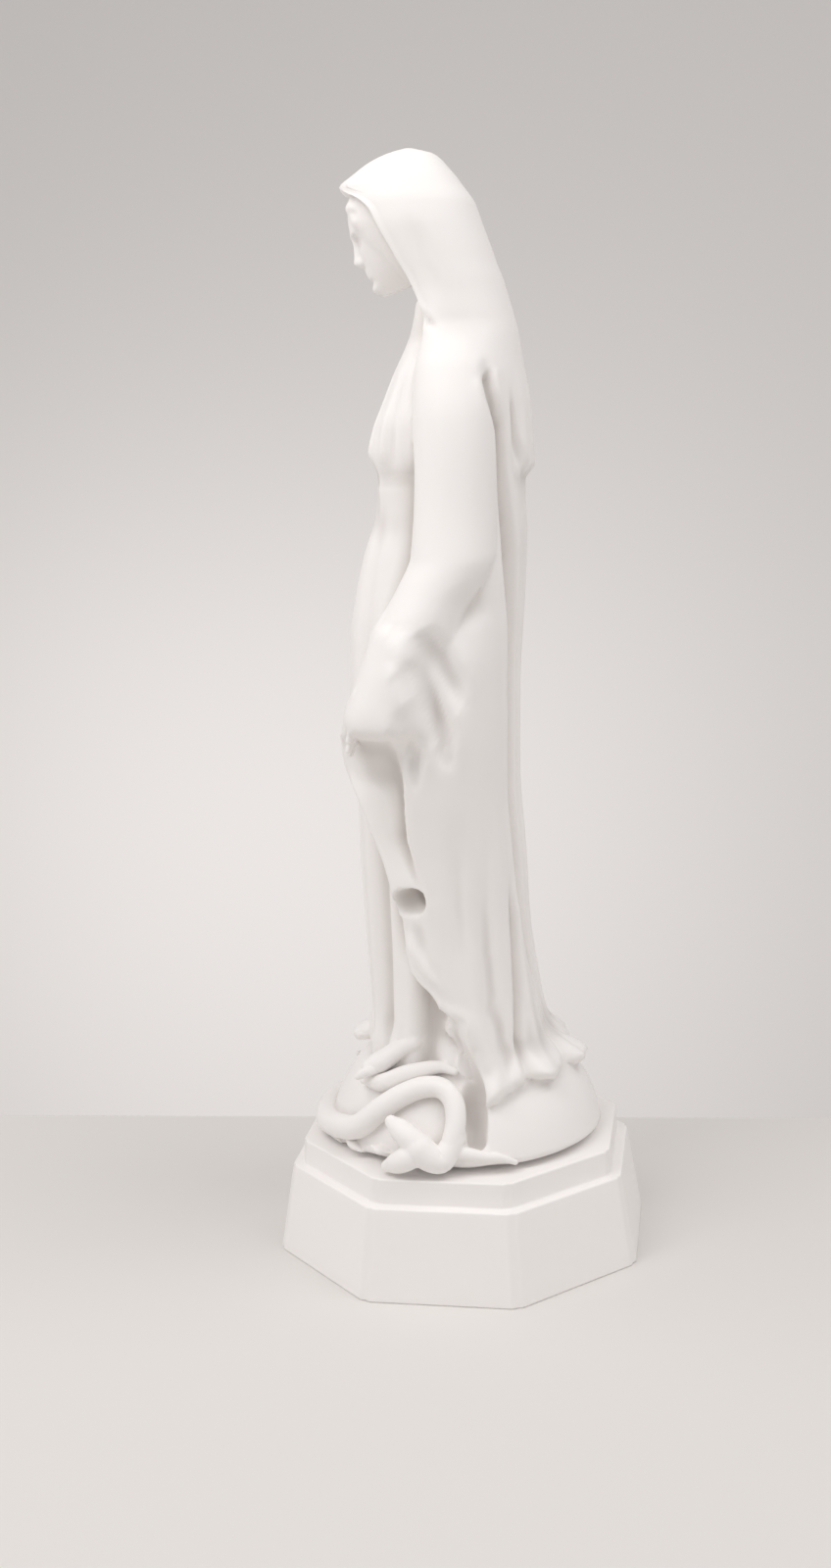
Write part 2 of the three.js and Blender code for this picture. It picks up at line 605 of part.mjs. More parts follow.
function figureSolid() {
  let whole = tunic().add(cloth()).add(head()).add(globe());
  for (const { heel, toe, width } of [NEAR_FOOT, FAR_FOOT]) {
    whole = whole.add(foot(onGlobe(...heel), onGlobe(...toe), width));
  }
  for (const side of SIDES) {
    whole = whole.add(sleeve(side)).add(hand(side));
  }
  for (const cutter of UNDERCUTS) whole = whole.subtract(undercut(cutter));
  whole = whole.add(serpent()).add(hemRoll()).add(rose(-40, 25, 1));
  for (const [turn, rise, towards, climb, size] of LEAVES) {
    whole = whole.add(leaf(turn, rise, towards, climb, size));
  }
  return whole.subtract(belowFoot());
}

// Everything under the flat foot of the casting, which is ground off level
function belowFoot() {
  const reach = 4 * GLOBE_RADIUS;
  const shape = new THREE.BoxGeometry(reach, reach, GLOBE_RADIUS);
  shape.translate(0, 0, -GLOBE_RADIUS / 2);
  return toSolid(shape);
}

function toGeometry(body, scale) {
  const mesh = body.getMesh();
  const points = new Float32Array(mesh.numVert * 3);
  for (let i = 0; i < mesh.numVert; i += 1) {
    for (let axis = 0; axis < 3; axis += 1) {
      points[3 * i + axis] = scale * mesh.vertProperties[mesh.numProp * i + axis];
    }
  }
  const shape = new THREE.BufferGeometry();
  shape.setAttribute('position', new THREE.BufferAttribute(points, 3));
  shape.setIndex(new THREE.BufferAttribute(new Uint32Array(mesh.triVerts), 1));
  shape.computeVertexNormals();
  return shape;
}

// The plinth: a tapered octagonal block, a ledge and a step that carries the globe
function plinthSolid() {
  const stepFoot = GLOBE_RADIUS * UNIT + STEP_MARGIN;
  const blockTop = stepFoot + LEDGE;
  const levels = [
    [blockTop + BLOCK_TAPER, 0],
    [blockTop, BLOCK_HEIGHT],
    [stepFoot, BLOCK_HEIGHT],
    [stepFoot - STEP_TAPER, BLOCK_HEIGHT + STEP_HEIGHT],
  ];
  const rings = levels.map(([apothem, height]) => {
    const corner = apothem / Math.cos(Math.PI / FLATS);
    return Array.from({ length: FLATS }, (_, i) => {
      const angle = (2 * Math.PI * (i + 0.5)) / FLATS;
      return [corner * Math.cos(angle), corner * Math.sin(angle), height];
    });
  });
  return loft(rings);
}

function named(name, shape, colour, roughness) {
  const material = new THREE.MeshStandardMaterial({ color: colour, roughness, metalness: 0 });
  const mesh = new THREE.Mesh(shape, material);
  mesh.name = name;
  return mesh;
}

const statue = new THREE.Group();
const figure = named('figure', toGeometry(figureSolid(), UNIT), 0xf3efeb, 0.6);
figure.position.z = BLOCK_HEIGHT + STEP_HEIGHT;
statue.add(figure);
statue.add(named('plinth', toGeometry(plinthSolid(), 1), 0xf3efeb, 0.55));

export default statue;
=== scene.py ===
# A white devotional statue, about thirty centimetres tall: a hooded and robed woman with open
# hands stands on a globe with a serpent, cast in one piece of resin filled with marble powder,
# on an octagonal plinth of the same stuff with a stepped top.
import math
import bpy
import numpy as np
from mathutils import Matrix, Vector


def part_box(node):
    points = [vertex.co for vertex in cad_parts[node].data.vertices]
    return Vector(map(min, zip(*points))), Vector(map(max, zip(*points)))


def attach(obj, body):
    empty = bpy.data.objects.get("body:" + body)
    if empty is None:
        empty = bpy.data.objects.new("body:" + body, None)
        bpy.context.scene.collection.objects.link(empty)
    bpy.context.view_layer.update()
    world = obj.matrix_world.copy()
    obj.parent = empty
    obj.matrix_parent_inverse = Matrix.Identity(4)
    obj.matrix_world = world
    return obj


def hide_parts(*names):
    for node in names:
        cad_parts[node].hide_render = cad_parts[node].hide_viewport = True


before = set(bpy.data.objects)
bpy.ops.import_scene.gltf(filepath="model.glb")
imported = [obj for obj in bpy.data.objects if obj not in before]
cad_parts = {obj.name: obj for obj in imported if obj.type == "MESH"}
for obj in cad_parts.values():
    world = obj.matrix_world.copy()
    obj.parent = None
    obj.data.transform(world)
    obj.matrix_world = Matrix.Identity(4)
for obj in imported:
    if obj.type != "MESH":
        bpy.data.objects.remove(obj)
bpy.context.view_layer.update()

# Camera: level with her shoulders and a touch behind her left side, looking slightly down,
# as a phone is held about half a metre away. Metres and degrees.
CAMERA_PLACE = (0.47394, 0.06869, 0.22419)
LOOK_TURN = 99.54
LOOK_DOWN = 11.058
LEAN = 1.678
LENS = 40.5


def camera_axes(turn, down, lean):
    """Right, up and back directions of a camera that looks along a level heading turned from
    +Y towards -X, tips down, and leans about its own line of sight."""
    turn, down, lean = (math.radians(a) for a in (turn, down, lean))
    heading = np.array([-math.sin(turn), math.cos(turn), 0.0])
    forward = heading * math.cos(down) - np.array([0, 0, math.sin(down)])
    right = np.cross(heading, [0, 0, 1])
    up = np.cross(right, forward)
    leaned_right = right * math.cos(lean) - up * math.sin(lean)
    leaned_up = right * math.sin(lean) + up * math.cos(lean)
    return leaned_right, leaned_up, -forward


lens_data = bpy.data.cameras.new("camera")
lens_data.lens = LENS
lens_data.sensor_width = 36
lens_data.clip_start = 0.01
camera = bpy.data.objects.new("camera", lens_data)
bpy.context.scene.collection.objects.link(camera)
right, up, back = camera_axes(LOOK_TURN, LOOK_DOWN, LEAN)
turned = Matrix((right, up, back)).transposed().to_4x4()
camera.matrix_world = Matrix.Translation(CAMERA_PLACE) @ turned
bpy.context.scene.camera = camera


# The plinth is a cast block: a tapered octagon with a narrow ledge and a raised step, its
# arrises rounded by the mould. It stands on its flat underside and carries the globe.
# Metres, but for the block's share of the plinth's height.
PLINTH_LOW, PLINTH_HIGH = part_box("plinth")
BLOCK_SHARE = 24.75 / 31.75
BLOCK_TAPER = 0.004
LEDGE = 0.0029
STEP_LEAN = 0.00025
ARRIS = 0.0005
CORNER_ROUND = 0.0009
CORNER_ANGLE = 0.03


def linear(hex_colour):
    """Linear light values of an sRGB hex colour, by the standard sRGB curve."""
    parts = np.array([int(hex_colour[i:i + 2], 16) / 255 for i in (1, 3, 5)])
    curve = np.where(parts <= 0.04045, parts / 12.92, ((parts + 0.055) / 1.055) ** 2.4)
    return (*curve, 1.0)


def add_node(tree, kind, inputs=None, **settings):
    """One shader node with its settings; inputs maps a socket's name or number to a value
    or to the socket that feeds it."""
    node = tree.nodes.new(kind)
    for name, value in settings.items():
        setattr(node, name, value)
    for key, value in (inputs or {}).items():
        if isinstance(value, bpy.types.NodeSocket):
            tree.links.new(value, node.inputs[key])
        else:
            node.inputs[key].default_value = value
    return node


def cast_marble(name, pale, shade_and_dust_tone, cloud_mm, grain_mm):
    """Bonded marble: polyester resin filled with marble powder, poured and rubbed down. The
    eye sees a chalky white with a soft satin, faint clouds where powder settled, and a very
    fine sanded grain; a darker, warmer tone is painted into hollows, partly as painted shade
    standing in for their shadow and partly as handling dust."""
    material = bpy.data.materials.new(name)
    material.use_nodes = True
    tree = material.node_tree
    shader = tree.nodes["Principled BSDF"]
    place = add_node(tree, "ShaderNodeTexCoord").outputs["Object"]
    clouds = add_node(tree, "ShaderNodeTexNoise", {
        "Vector": place, "Scale": 1000 / cloud_mm, "Detail": 4.0, "Roughness": 0.55})
    hollow = add_node(tree, "ShaderNodeAttribute", attribute_name="hollow")
    # Painted shade and dust: the colour turns darker and warmer where the surface is hollow,
    # standing in for the shade there as well as for dust.
    dust_and_shade = add_node(tree, "ShaderNodeMath", {
        0: hollow.outputs["Fac"], 1: clouds.outputs["Fac"]}, operation="MULTIPLY")
    amount = add_node(tree, "ShaderNodeClamp", {"Value": dust_and_shade.outputs[0]})
    colour = add_node(tree, "ShaderNodeMix", {
        "Factor": amount.outputs[0], 6: linear(pale), 7: linear(shade_and_dust_tone)}, data_type="RGBA")
    tree.links.new(colour.outputs[2], shader.inputs["Base Color"])
    sanded = add_node(tree, "ShaderNodeTexNoise", {
        "Vector": place, "Scale": 1000 / grain_mm, "Detail": 3.0})
    rough = add_node(tree, "ShaderNodeMapRange", {
        "Value": sanded.outputs["Fac"], "To Min": 0.5, "To Max": 0.66})
    tree.links.new(rough.outputs[0], shader.inputs["Roughness"])
    grain = add_node(tree, "ShaderNodeBump", {
        "Height": sanded.outputs["Fac"], "Strength": 0.12, "Distance": 0.0001})
    tree.links.new(grain.outputs[0], shader.inputs["Normal"])
    shader.inputs["IOR"].default_value = 1.5
    shader.inputs["Subsurface Weight"].default_value = 0.03
    shader.inputs["Subsurface Radius"].default_value = (0.0016, 0.0012, 0.0009)
    shader.inputs["Subsurface Scale"].default_value = 1.0
    return material


def make_object(name, points, faces):
    """A mesh object at the origin from an array of points and an array of triangles."""
    mesh = bpy.data.meshes.new(name)
    mesh.vertices.add(len(points))
    mesh.vertices.foreach_set("co", np.asarray(points, np.float32).ravel())
    mesh.loops.add(faces.size)
    mesh.loops.foreach_set("vertex_index", faces.astype(np.int32).ravel())
    mesh.polygons.add(len(faces))
    mesh.polygons.foreach_set("loop_start", np.arange(0, faces.size, 3, dtype=np.int32))
    mesh.update(calc_edges=True)
    mesh.validate()
    made = bpy.data.objects.new(name, mesh)
    bpy.context.scene.collection.objects.link(made)
    return made


def skin(rings):
    """Points and triangles of a closed skin over rings (an array of rows by columns by xyz,
    lowest row first, turning anticlockwise seen from the far end): two triangles to each
    cell, and a fan from the middle of the first and of the last ring."""
    rows, columns = rings.shape[:2]
    index = np.arange(rows * columns).reshape(rows, columns)
    a = index[:-1]
    b = np.roll(a, -1, 1)
    c = np.roll(index[1:], -1, 1)
    d = index[1:]
    sides = np.concatenate([np.stack([a, b, c], 2), np.stack([a, c, d], 2)]).reshape(-1, 3)
    first, last = index[0], index[-1]
    low, high = rows * columns, rows * columns + 1
    under = np.stack([np.full(columns, low), np.roll(first, -1), first], 1)
    over = np.stack([np.full(columns, high), last, np.roll(last, -1)], 1)
    points = np.concatenate([rings.reshape(-1, 3), [rings[0].mean(0), rings[-1].mean(0)]])
    return points, np.concatenate([sides, under, over])


def octagon_block():
    """Octagon rings up the block's profile; each side is cut into short runs, and the
    corners between them are rounded by pulling them in along an arc."""
    low, high = np.array(PLINTH_LOW), np.array(PLINTH_HIGH)
    base = high[0]
    ledge_height = low[2] + (high[2] - low[2]) * BLOCK_SHARE
    arc = np.linspace(0, math.pi / 2, 5)
    block_top, step_foot = base - BLOCK_TAPER, base - BLOCK_TAPER - LEDGE
    profile = [(base - 4 * ARRIS, low[2]), (base - ARRIS * 0.4, low[2]), (base, low[2] + ARRIS)]
    profile += [(base - BLOCK_TAPER * t, low[2] + (ledge_height - low[2]) * t)
                for t in (0.3, 0.6, 0.9)]
    profile += [(block_top - ARRIS * (1 - math.cos(t)), ledge_height - ARRIS * (1 - math.sin(t)))
                for t in arc]
    profile += [(step_foot + ARRIS * (1 - math.sin(t)), ledge_height + ARRIS * (1 - math.cos(t)))
                for t in arc]
    profile += [(step_foot - STEP_LEAN - ARRIS * (1 - math.cos(t)),
                 high[2] - ARRIS * (1 - math.sin(t))) for t in arc]
    profile += [(step_foot - 8 * ARRIS, high[2]), (20 * ARRIS, high[2])]
    apothem, height = np.array(profile).T
    half_side = math.pi / 8
    turn = np.linspace(-half_side, half_side, 19)[:-1]
    turn = np.sign(turn) * (np.abs(turn) / half_side) ** 0.45 * half_side
    corner = np.clip(1 - (half_side - np.abs(turn)) / CORNER_ANGLE, 0, 1)
    corner_round = CORNER_ROUND * corner**2
    reach = 1 / np.cos(turn)
    angle = (np.arange(8)[:, None] * math.pi / 4 + turn).ravel()
    reach, corner_round = np.tile(reach, 8), np.tile(corner_round, 8)
    radius = apothem[:, None] * reach - corner_round * np.minimum(apothem / base, 1)[:, None]
    rings = np.stack([radius * np.cos(angle), radius * np.sin(angle),
                      np.repeat(height[:, None], len(angle), 1)], 2)
    return make_object("plinth_block", *skin(rings))


plinth = octagon_block()
plinth.data.shade_smooth()
plinth.modifiers.new("flat faces", "WEIGHTED_NORMAL").weight = 90
# The second, darker warm colour is painted into hollows as painted shade and as dust.
marble = cast_marble("bonded_marble", "#F8F5F3", "#94877D", 40, 0.5)
plinth.data.materials.append(marble)
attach(plinth, "root")
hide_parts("plinth")


# The mantle is one cloth from the crown of the hood over shoulders and arms to the globe,
# open in front. Its folds were carved in the master and cast with the figure. The figure is
# laid out in hundredths of its own height, above the plinth's top. The lists are (height,
# value) knots: the axis' place from front to back, the cloth's half width, depth behind and
# in front and squareness, the open edge in degrees from the front, the even line from which
# its columns are spaced, the arm under the cloth, the sleeve's mouth, and the back edge of
# the hollow under the hand.
FIGURE_LOW, FIGURE_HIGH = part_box("figure")
UNIT = (FIGURE_HIGH.z - FIGURE_LOW.z) / 100
HOOD_TIP = 96.3
CLOTH_THICK = 1.1
MEAN_REACH = 12.5
AXIS = [[0, 0], [68.8, 0], [76.3, 0.38], [82, 0.75], [84.2, 0.56], [86.9, 0], [89.5, -1.13],
        [93.2, -2.63], [97, -3.38], [100, -3]]
CLOTH_HALF = [[4.6, 12.8], [11, 11.7], [21.9, 11.7], [30.9, 12.4], [38, 13.5], [44.4, 14.2],
              [50.1, 13.9], [53.8, 12.7], [57.2, 10.9], [61.3, 9.8], [69.2, 9.6], [75.6, 9.4],
              [78.2, 9], [80.5, 8.1], [83.9, 6.6], [86.9, 6.2], [92.1, 6.3], [94.4, 6],
              [96.6, 5.1], [98.3, 3.8], [99.4, 2.3], [100, 0.4]]
CLOTH_BACK = [[4.6, 12.2], [8.2, 11.2], [9.4, 10.4], [11.6, 9], [15.9, 8.1], [23.4, 7.4],
              [30.9, 6.8], [38, 6.3], [47.1, 6.5], [57.2, 7.3], [64.3, 7.8], [75.6, 7.8],
              [81.6, 6.8], [86.9, 6.2], [92.3, 6.6], [94.4, 6.5], [96.7, 5.4], [98.3, 4],
              [99.4, 2.6], [100, 0.4]]
CLOTH_FRONT = [[4.6, 3], [11, 5.3], [18.1, 7.5], [25.6, 9.8], [33.2, 11.3], [41.8, 12],
               [48.2, 11.3], [53.8, 9], [59.4, 5.3], [65.1, 3.8], [82, 3.4], [86.9, 4.5],
               [92.1, 6], [96.4, 6.7], [97.6, 5.3], [98.9, 3.5], [99.7, 1.6], [100, 0.4]]
CLOTH_POWER = [[0, 2.3], [60, 2.3], [84, 2.1], [100, 2]]
OPENING = [[3.7, 102.5], [7.3, 101], [10.4, 97], [13.5, 92.5], [16, 89], [17.6, 86],
           [18.6, 82], [19.8, 74], [21.4, 70], [23.8, 68.5], [26, 67], [27.4, 64.5],
           [31, 59], [34.3, 51.5], [37.3, 43.5], [40, 32], [41.5, 31], [45, 44], [50, 56],
           [54.2, 62], [61.3, 76], [69, 78], [78.2, 68], [82, 72], [83.6, 72], [87.6, 66],
           [91.9, 62], [93.8, 58], [95.2, 45], [95.9, 24], [96.3, 6]]
COLUMN_OPENING = [[3.7, 102.5], [10.4, 97], [16, 87.5], [20.5, 78], [28, 66], [36, 54], [42, 48],
                  [50, 56], *OPENING[19:]]
ARM_X = [[42, 11.4], [46, 11.5], [49.2, 11.7], [53.5, 11.4], [55, 10.9], [58.7, 9.8],
         [65.1, 8.5], [74, 7.3], [79, 5.8], [83, 4]]
ARM_Y = [[42, -4.2], [46, -3.9], [49.2, -3.1], [53.5, -2.0], [55, -1.4], [58.7, 0.6],
         [61.3, 1.7], [70.7, 1.9], [83, 1.3]]
ARM_RADIUS = [[42, 4.2], [46, 4.7], [49.2, 4.3], [53.5, 3.9], [58.7, 4.1], [65.1, 3.9],
              [74, 3.8], [79, 3.4], [83, 2]]
CUFF = [[43, 96], [44.8, 94], [46.4, 91], [48.5, 88.5], [50.4, 87], [51.8, 86], [53.4, 83.5],
        [54.2, 80], [54.8, 76]]
HAND_SHADE = [[26, 88], [28.9, 84], [31.3, 79], [34, 76], [43.5, 77]]
# Carved valleys: (degrees, height) knots, width, depth, and the shares of the length over
# which each end fades.
VALLEYS = [
    ([[121, 78.4], [124, 76.2], [132, 73.1], [135, 68.5], [138, 64.7], [143, 58.9]],
     0.75, 1.3, 0.05, 0.2),
    ([[135, 68.5], [138, 64.7], [143, 58.9], [147, 53.4], [150, 45], [151, 36], [154, 27.4],
      [160, 22], [166, 16]], 1.3, 2.1, 0.15, 0.3),
    ([[143, 77], [148, 72], [156, 69.6], [165, 68.6]], 0.45, 0.7, 0.3, 0.1),
    ([[86, 54.6], [90, 53], [95, 50.8], [99.5, 48.8], [103.5, 46.6]], 0.68, 2, 0.2, 0.35),
    ([[84, 52.4], [87, 50], [90, 47.4], [93.5, 44.4], [96.5, 40.5]], 0.7, 2.3, 0.15, 0.45),
    ([[82, 48], [82.5, 45], [82, 42], [81.5, 38.5]], 0.55, 1.3, 0.3, 0.4),
    ([[103, 59], [107, 57], [112, 54]], 2, 0.5, 0.4, 0.5),
    ([[73, 27], [76, 24.6], [80, 21]], 1.4, 0.6, 0.1, 0.6),
    ([[64, 20.2], [71, 18.8], [78, 17.4], [80, 16.4], [88, 15.4], [96, 14.2], [99, 13.2]],
     0.5, 1.5, 0.1, 0.2),
    ([[84, 14.2], [95, 12.6], [99, 10.8], [102, 9], [103, 7.2], [102, 4]], 1.2, 1.9, 0.2, 0),
    ([[137, 30], [137, 22], [136, 16.4], [132, 12.3], [133, 8]], 0.75, 1.1, 0.4, 0),
    ([[163, 24], [171, 16], [171, 11], [166, 7]], 0.75, 1.1, 0.4, 0),
    ([[114, 36], [112, 26], [115, 16], [123, 11], [125, 7]], 0.9, 0.55, 0.6, 0),
    ([[98, 38], [99, 27], [103, 18]], 0.9, 0.25, 0.5, 0.5),
    ([[97, 93.5], [94, 91], [91, 88.5], [84, 85.5]], 2, 0.2, 0.4, 0.4),
    ([[58, 84.8], [74, 83.6], [90, 82.6]], 0.4, 0.45, 0.1, 0.5),
    ([[179.9, 62], [175, 50], [171, 34], [173, 24]], 0.8, 0.6, 0.3, 0.4),
]
# Carved ridges, in the same way.
RIDGES = [
    ([[86, 53], [90.5, 50.8], [95, 48.2], [99, 45.4]], 0.5, 0.4, 0.2, 0.4),
    ([[72, 24.6], [75, 22.4], [82, 20.2], [90, 18]], 0.6, 0.5, 0.3, 0.4),
    ([[84, 16.6], [91, 13.6], [97, 11], [101, 8]], 0.5, 0.45, 0.2, 0.2),
    ([[98, 15.5], [103, 12], [107, 8.6]], 0.6, 0.45, 0.3, 0),
    ([[146, 22], [147, 14], [146, 8]], 1.1, 0.5, 0.5, 0),
]


def ramp(value, start, end):
    """0 before start, 1 past end, and an even S between; end may lie below start."""
    t = np.clip((np.asarray(value, float) - start) / (end - start), 0, 1)
    return t * t * (3 - 2 * t)


def bump(distance, width):
    """A bell: one in the middle, falling as the square of distance over width."""
    return np.exp(-(np.asarray(distance) / width) ** 2)


def follow(knots, at):
    """Smooth curve through (place, value) knots: cubic pieces whose slope at a knot is the
    harmonic mean of its neighbours' slopes, or level at a turning point."""
    x, y = np.array(knots, float).T
    slope = np.diff(y) / np.diff(x)
    inner = np.where(slope[:-1] * slope[1:] > 0,
                     2 * slope[:-1] * slope[1:] / np.where(slope[:-1] + slope[1:] == 0, 1,
                                                           slope[:-1] + slope[1:]), 0)
    tangent = np.concatenate([[slope[0]], inner, [slope[-1]]])
    at = np.clip(at, x[0], x[-1])
    i = np.clip(np.searchsorted(x, at, side="right") - 1, 0, len(x) - 2)
    span = x[i + 1] - x[i]
    t = (at - x[i]) / span
    return ((2 * t**3 - 3 * t**2 + 1) * y[i] + (t**3 - 2 * t**2 + t) * span * tangent[i]
            + (3 * t**2 - 2 * t**3) * y[i + 1] + (t**3 - t**2) * span * tangent[i + 1])


def place(angle, radius, height):
    """Points at an angle from the front towards her left, a radius from the leaning axis and
    a height."""
    return np.stack([radius * np.sin(angle),
                     follow(AXIS, height) - radius * np.cos(angle),
                     height + 0 * angle], -1)


def oval(angle, half, front, behind, power):
    """Reach of a superellipse with its own depth before and behind the axis."""
    depth = np.where(np.cos(angle) > 0, front, behind)
    return ((np.abs(np.sin(angle)) / half) ** power
            + (np.abs(np.cos(angle)) / depth) ** power) ** (-1 / power)


def disc(angle, x, y, radius):
    """Reach of a disc that stands off the axis, falling away quickly beside it."""
    along = x * np.sin(angle) - y * np.cos(angle)
    room = radius**2 - (x * x + y * y - along**2)
    return np.where(room > 0, along + np.sqrt(np.maximum(room, 0)),
                    along - 3 * np.sqrt(np.maximum(-room, 0)))


def soft_max(a, b, softness):
    """The larger of two reaches, with the crossing between them rounded."""
    top = np.maximum(a, b)
    return top + softness * np.log(np.exp((a - top) / softness) + np.exp((b - top) / softness))


def carved_line(turn, height, knots, fade_in, fade_out):
    """Distance over the cloth, laid flat, from a line through (degrees, height) knots, and a
    weight that fades towards the line's two ends."""
    flat = np.array([MEAN_REACH * math.pi / 180, 1])
    knots = np.array(knots, float) * flat
    here = np.stack([np.degrees(turn) * flat[0], height + 0 * turn], -1)
    length = np.linalg.norm(np.diff(knots, axis=0), axis=1)
    best = np.full(turn.shape, np.inf)
    share = np.zeros(turn.shape)
    for start, end, run, before in zip(knots, knots[1:], length, np.cumsum(length) - length):
        t = np.clip((here - start) @ (end - start) / run**2, 0, 1)
        away = np.linalg.norm(here - start - t[..., None] * (end - start), axis=-1)
        share = np.where(away < best, (before + t * run) / length.sum(), share)
        best = np.minimum(best, away)
    weight = np.ones(turn.shape)
    if fade_in:
        weight = weight * ramp(share, -0.02, fade_in)
    if fade_out:
        weight = weight * ramp(share, 1.02, 1 - fade_out)
    return best, weight


def cloth_folds(angle, height):
    """In and out of the cloth's folds: each valley has a narrow floor and a raised shoulder
    on both sides, the sleeve's mouth and the hollow under the hand are steps, and pipes open
    towards a hem that flares over the globe in lobes."""
    turn = np.abs(angle)
    side = np.where(angle < 0, -1.0, 1.0)
    height = height + 0 * angle
    level = height - np.where(side > 0, 0, 1.2) * ramp(height, 62, 56) * ramp(height, 36, 42)
    change = np.zeros(angle.shape)
    for knots, width, depth, fade_in, fade_out in VALLEYS:
        away, weight = carved_line(turn, level, knots, fade_in, fade_out)
        floor = np.exp(-(away / width) ** 2.2) - 0.15 * bump(away - 2.2 * width, width)
        change -= depth * weight * floor
    for knots, width, depth, fade_in, fade_out in RIDGES:
        away, weight = carved_line(turn, level, knots, fade_in, fade_out)
        change += depth * weight * bump(away, width)
    degrees = np.degrees(turn)
    cuff = ramp(follow(CUFF, level) - degrees, -1, 2.5)
    change += 0.55 * cuff * ramp(level, 42.6, 44) * ramp(level, 55.2, 54.5)
    inner, outer = follow(OPENING, level), follow(HAND_SHADE, level)
    sunk = 0.4 + 2.7 * np.clip((degrees - inner) / (outer - inner), 0, 1)
    sunk *= ramp(outer - degrees, 0, 4)
    change -= sunk * ramp(level, 27, 34) * ramp(level, 46, 39)
    pipes = np.cos(9 * turn + 0.4 * side) + 0.5 * np.cos(16 * turn + 1.3 + side)
    change += 0.16 * pipes * ramp(height, 60, 8) * ramp(turn, math.radians(80), math.radians(125))
    over_hem = height - cloth_hem(angle)
    lobes = 0.8 + 0.35 * np.cos(10 * turn + 0.6) + 0.2 * np.cos(23 * turn)
    flare = lobes * ramp(over_hem, 3.4, 0.5) * ramp(degrees, 98, 108)
    flare += 1.1 * bump(degrees - 176, 9) * ramp(height, 11.5, 8.6)
    change += flare - 0.5 * ramp(over_hem, 0.5, 0) * ramp(degrees, 98, 108)
    veil_end = ramp(height, 80, 69.5) * ramp(height, 68.4, 69.2)
    change += 0.95 * veil_end * ramp(turn, math.radians(146), math.radians(160))
    return change


def cloth_radius(angle, height):
    """Reach of the cloth: the trunk's superellipse joined softly with the disc of the arm
    under it, and the folds laid over both."""
    trunk = oval(angle, follow(CLOTH_HALF, height), follow(CLOTH_FRONT, height),
                 follow(CLOTH_BACK, height), follow(CLOTH_POWER, height))
    sleeved = ramp(height, 42.3, 44.4)
    arm = sleeved * disc(np.abs(angle), follow(ARM_X, height),
                         follow(ARM_Y, height) - follow(AXIS, height),
                         follow(ARM_RADIUS, height))
    arm = np.where(height > 83, 0, arm)
    return soft_max(trunk, arm, 0.35) + cloth_folds(angle, height)


def cloth_hem(angle):
    """Height of the wavy hem at an angle."""
    turn = np.abs(angle)
    wave = 0.35 * np.cos(11 * turn) + 0.5 * bump(turn - 2.55, 0.35)
    return 4.4 + 3 * ramp(turn, math.radians(98), math.radians(116)) + wave


def open_edge(level):
    """Angle of the open edge on a row of the cloth: the even line from which the columns are
    spaced, and the carved line with its curls."""
    hem = cloth_hem(np.radians(follow(OPENING, level)))
    height = hem + level / 100 * (100 - hem)
    curls = 1.8 * np.sin(1.7 * height) * ramp(height, 17, 15) * ramp(height, 5, 9)
    return np.radians(follow(COLUMN_OPENING, height)), np.radians(follow(OPENING, height) + curls)


def mantle(rows=249, outer=211, inner=15, fade=0.35, tuck=0.05):
    """Rows from hem to crown by columns round the body: from one open edge round the back to
    the other on the outside of the cloth, then back across the front on its inside. The
    outer columns lean towards the carved edge by exp(-angle from it / fade)."""
    share = np.linspace(0, 1, rows)[:, None]
    level = 100 * (0.72 * share + 0.28 * np.sin(share * math.pi / 2))
    smooth, edge = open_edge(level)
    outside = smooth + (2 * math.pi - 2 * smooth) * np.linspace(0, 1, outer)[None, :]
    shift = edge - smooth
    outside = outside + shift * (np.exp((smooth - outside) / fade)
                                 - np.exp((outside - 2 * math.pi + smooth) / fade))
    inside = -(edge - tuck) + 2 * (edge - tuck) * np.linspace(0, 1, inner)[None, :]
    turn = np.concatenate([outside, inside], 1)
    angle = np.arctan2(np.sin(turn), np.cos(turn))
    within = np.concatenate([np.zeros(outside.shape[1]), np.ones(inside.shape[1])])[None, :]
    hem = cloth_hem(angle)
    height = hem + level / 100 * (100 - hem)
    deep = follow([[0, 5.5], [62, 4.5], [76, 3.4], [83, 2.2], [92, 2.5], [96, CLOTH_THICK],
                   [100, CLOTH_THICK]], height)
    rim = ramp(np.abs(angle) - edge, 0.16, 0.02) * (1 - within)
    rolled = 0.28 * rim * ramp(height, 82, 85) * ramp(height, 96.8, 95)
    radius = cloth_radius(angle, height) + rolled
    radius = radius - deep * within * ramp(height, HOOD_TIP, HOOD_TIP - 0.9)
    return skin(place(angle, np.maximum(radius, 0.1), height))


# The tunic under the mantle: a bodice that blouses over a sash, then a long fluted skirt
# that breaks on the feet and the globe.
TUNIC_FRONT = [[4.6, 8.6], [11, 8.8], [21.9, 9.4], [32, 9.8], [39, 9.9], [43, 10.2], [47.4, 10.5],
               [52.3, 10.3], [56.4, 9.7], [60.9, 8.6], [64.7, 7.3], [67.3, 7], [69.2, 7.1],
               [71, 7.8], [73.3, 7.3], [76, 6.3], [79, 5.3], [81.6, 4.3], [83.5, 3.6], [86, 2.8]]
TUNIC_HALF = [[4.6, 9.6], [11, 9], [21.9, 8.2], [36.9, 8], [53.8, 8], [59.4, 7.4], [64.7, 6.6],
              [67.3, 6.4], [71.1, 7.2], [74.5, 7.5], [78.2, 7.1], [80.8, 5.3], [82.7, 3.6],
              [86, 2.9]]


